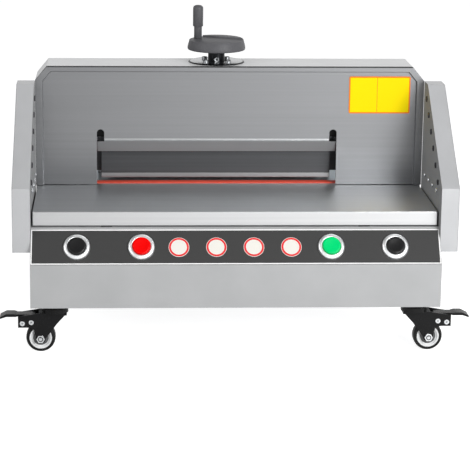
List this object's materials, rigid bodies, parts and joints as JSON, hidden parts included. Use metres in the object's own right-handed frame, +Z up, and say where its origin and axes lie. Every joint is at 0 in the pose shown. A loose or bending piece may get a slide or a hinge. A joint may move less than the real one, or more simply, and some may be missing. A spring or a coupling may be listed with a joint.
{
  "type": "electric paper cutter",
  "caption": "Free-standing electric guillotine on casters: slanted button panel, steel table between light-curtain wings, gantry with knife, screw clamp and handwheel, hinged rear hood.",
  "frame": {"origin": "middle of the footprint on the floor", "axes": "+X to the right seen from the operator, +Y from the operator to the back, +Z up"},
  "size_m": [0.641, 0.596, 0.4447],
  "materials": {
    "silver_paint": "fine satin silver-grey powder coat on folded sheet steel",
    "wing_paint": "fine satin silver-grey powder coat",
    "cover_paint": "light grey powder coat, slightly brighter than the body",
    "plated_sheet": "zinc-plated inner sheet",
    "satin_plate": "satin reflective sheet with a dished border",
    "table_steel": "ground and polished steel plate with a bright nosing",
    "machined_steel": "machined structural steel",
    "blade_steel": "ground tool steel with a polished bevel",
    "clamp_paint": "dark grey machined casting",
    "bright_steel": "bright plated turned steel",
    "stick_plastic": "red moulded cutting stick",
    "panel_film": "dark grey printed panel film with a thin pale line",
    "sticker_film": "white discs with a red ring, no words",
    "notice_film": "bare yellow notice plate with an orange edge",
    "button_black": "black moulded push button",
    "button_red": "red moulded push button",
    "button_green": "green moulded push button",
    "ring_metal": "plated bezel ring",
    "wheel_plastic": "dark grey moulded phenolic",
    "hub_black": "black oxide steel",
    "window_plastic": "dark infrared window",
    "board_green": "printed circuit board",
    "motor_paint": "dark blue-grey motor enamel",
    "gearbox_iron": "cast gearbox housing",
    "box_plastic": "grey moulded electrical enclosure",
    "inlet_plastic": "black mains inlet",
    "bush_brass": "turned bearing bushes",
    "rail_aluminium": "anodised guide rails",
    "hood_clear": "clear smoked polycarbonate hood",
    "caster_black": "black coated pressed steel",
    "tyre_rubber": "black rubber tyre on a pale rim",
    "pad_rubber": "thin isolating pads"
  },
  "bodies": {
    "frame": {"base_casing": "silver_paint", "base_plate": "plated_sheet", "work_table": "table_steel", "table_pads": "pad_rubber", "cutting_stick": "stick_plastic", "left_side_frame": "machined_steel", "right_side_frame": "machined_steel", "top_crossbeam": "machined_steel", "front_guard": "satin_plate", "top_cover": "cover_paint", "gantry_back_panel": "cover_paint", "left_wing": "wing_paint", "right_wing": "wing_paint", "wing_covers": "wing_paint", "wing_windows": "window_plastic", "wing_screws": "bright_steel", "light_curtains": "board_green", "control_overlay": "panel_film", "button_bezels": "ring_metal", "panel_stickers": "sticker_film", "notice_plate": "notice_film", "spindle_flange": "bright_steel", "drive_motor": "motor_paint", "drive_gearbox": "gearbox_iron", "rocker_bearings": "gearbox_iron", "control_box": "box_plastic", "power_inlet": "inlet_plastic", "side_lays": "rail_aluminium", "screw_bearings": "bush_brass", "caster_plates": "caster_black", "cover_hinges": "bright_steel"},
    "knife_carriage": {"knife_carrier": "machined_steel", "knife": "blade_steel", "knife_bolts": "bright_steel", "pull_rods": "machined_steel"},
    "rocker": {"rocker_shaft": "machined_steel"},
    "clamp": {"clamp_beam": "clamp_paint", "clamp_foot": "bright_steel"},
    "handwheel_assembly": {"handwheel": "wheel_plastic", "clamp_spindle": "hub_black"},
    "grip": {"wheel_grip": "wheel_plastic"},
    "gauge_drive": {"gauge_screw": "bright_steel", "gauge_knob": "wheel_plastic"},
    "gauge": {"back_gauge": "rail_aluminium"},
    "hood": {"rear_cover": "hood_clear"},
    "left_cut_push": {"cut_button_left": "button_black"},
    "power_push": {"power_button": "button_red"},
    "reset_push": {"reset_button": "button_green"},
    "right_cut_push": {"cut_button_right": "button_black"},
    "front_left_caster": {"front_left_fork": "caster_black"},
    "front_left_roller": {"front_left_wheel": "tyre_rubber"},
    "front_right_caster": {"front_right_fork": "caster_black"},
    "front_right_roller": {"front_right_wheel": "tyre_rubber"},
    "rear_left_caster": {"rear_left_fork": "caster_black"},
    "rear_left_roller": {"rear_left_wheel": "tyre_rubber"},
    "rear_right_caster": {"rear_right_fork": "caster_black"},
    "rear_right_roller": {"rear_right_wheel": "tyre_rubber"},
    "left_brake": {"left_brake_pedal": "caster_black"},
    "right_brake": {"right_brake_pedal": "caster_black"}
  },
  "joints": [
    {"name": "knife_slide", "type": "slide", "parent": "frame", "child": "knife_carriage", "axis": [0, 0, 1], "range_m": [-0.0465, 0]},
    {"name": "rocker_turn", "type": "hinge", "parent": "frame", "child": "rocker", "pos_m": [0, 0.0069, 0.12], "axis": [-1, 0, 0], "range_deg": [-38.81, 0]},
    {"name": "clamp_slide", "type": "slide", "parent": "frame", "child": "clamp", "axis": [0, 0, 1], "range_m": [-0.0049, 0.0349]},
    {"name": "handwheel_turn", "type": "hinge", "parent": "clamp", "child": "handwheel_assembly", "pos_m": [-0.0183, -0.052, 0.39], "axis": [0, 0, 1], "range_deg": [-353, 2513]},
    {"name": "grip_spin", "type": "hinge", "parent": "handwheel_assembly", "child": "grip", "pos_m": [-0.0447, -0.04, 0.42], "axis": [0, 0, 1], "continuous": true},
    {"name": "gauge_turn", "type": "hinge", "parent": "frame", "child": "gauge_drive", "pos_m": [-0.0183, 0.282, 0.152], "axis": [0, 1, 0], "range_deg": [-14860, 6490]},
    {"name": "gauge_slide", "type": "slide", "parent": "frame", "child": "gauge", "axis": [0, 1, 0], "range_m": [-0.0721, 0.1651]},
    {"name": "hood_hinge", "type": "hinge", "parent": "frame", "child": "hood", "pos_m": [-0.0183, -0.013, 0.345], "axis": [1, 0, 0], "range_deg": [0, 75]},
    {"name": "left_cut_press", "type": "slide", "parent": "frame", "child": "left_cut_push", "axis": [0, 0.802, -0.5974], "range_m": [0, 0.003], "stiffness_N_per_m": 400, "springref_m": -0.003},
    {"name": "power_press", "type": "slide", "parent": "frame", "child": "power_push", "axis": [0, 0.802, -0.5974], "range_m": [0, 0.003], "stiffness_N_per_m": 400, "springref_m": -0.003},
    {"name": "reset_press", "type": "slide", "parent": "frame", "child": "reset_push", "axis": [0, 0.802, -0.5974], "range_m": [0, 0.003], "stiffness_N_per_m": 400, "springref_m": -0.003},
    {"name": "right_cut_press", "type": "slide", "parent": "frame", "child": "right_cut_push", "axis": [0, 0.802, -0.5974], "range_m": [0, 0.003], "stiffness_N_per_m": 400, "springref_m": -0.003},
    {"name": "front_left_swivel", "type": "hinge", "parent": "frame", "child": "front_left_caster", "pos_m": [-0.2455, -0.273, 0.055], "axis": [0, 0, 1], "continuous": true},
    {"name": "front_left_roll", "type": "hinge", "parent": "front_left_caster", "child": "front_left_roller", "pos_m": [-0.265, -0.273, 0.02], "axis": [0, 1, 0], "continuous": true},
    {"name": "front_right_swivel", "type": "hinge", "parent": "frame", "child": "front_right_caster", "pos_m": [0.2455, -0.273, 0.055], "axis": [0, 0, 1], "continuous": true},
    {"name": "front_right_roll", "type": "hinge", "parent": "front_right_caster", "child": "front_right_roller", "pos_m": [0.265, -0.273, 0.02], "axis": [0, 1, 0], "continuous": true},
    {"name": "rear_left_swivel", "type": "hinge", "parent": "frame", "child": "rear_left_caster", "pos_m": [-0.2455, 0.237, 0.055], "axis": [0, 0, 1], "continuous": true},
    {"name": "rear_left_roll", "type": "hinge", "parent": "rear_left_caster", "child": "rear_left_roller", "pos_m": [-0.265, 0.237, 0.02], "axis": [0, 1, 0], "continuous": true},
    {"name": "rear_right_swivel", "type": "hinge", "parent": "frame", "child": "rear_right_caster", "pos_m": [0.2455, 0.237, 0.055], "axis": [0, 0, 1], "continuous": true},
    {"name": "rear_right_roll", "type": "hinge", "parent": "rear_right_caster", "child": "rear_right_roller", "pos_m": [0.265, 0.237, 0.02], "axis": [0, 1, 0], "continuous": true},
    {"name": "left_brake_lift", "type": "hinge", "parent": "front_left_caster", "child": "left_brake", "pos_m": [-0.2775, -0.273, 0.043], "axis": [0, 1, 0], "range_deg": [0, 12]},
    {"name": "right_brake_lift", "type": "hinge", "parent": "front_right_caster", "child": "right_brake", "pos_m": [0.2775, -0.273, 0.043], "axis": [0, -1, 0], "range_deg": [0, 12]}
  ],
  "couplings": [
    {"joint": "rocker_turn", "follows": "knife_slide", "rad_per_m": 14.562},
    {"joint": "handwheel_turn", "follows": "clamp_slide", "rad_per_m": 1256.6},
    {"joint": "gauge_turn", "follows": "gauge_slide", "rad_per_m": -1570.8}
  ]
}
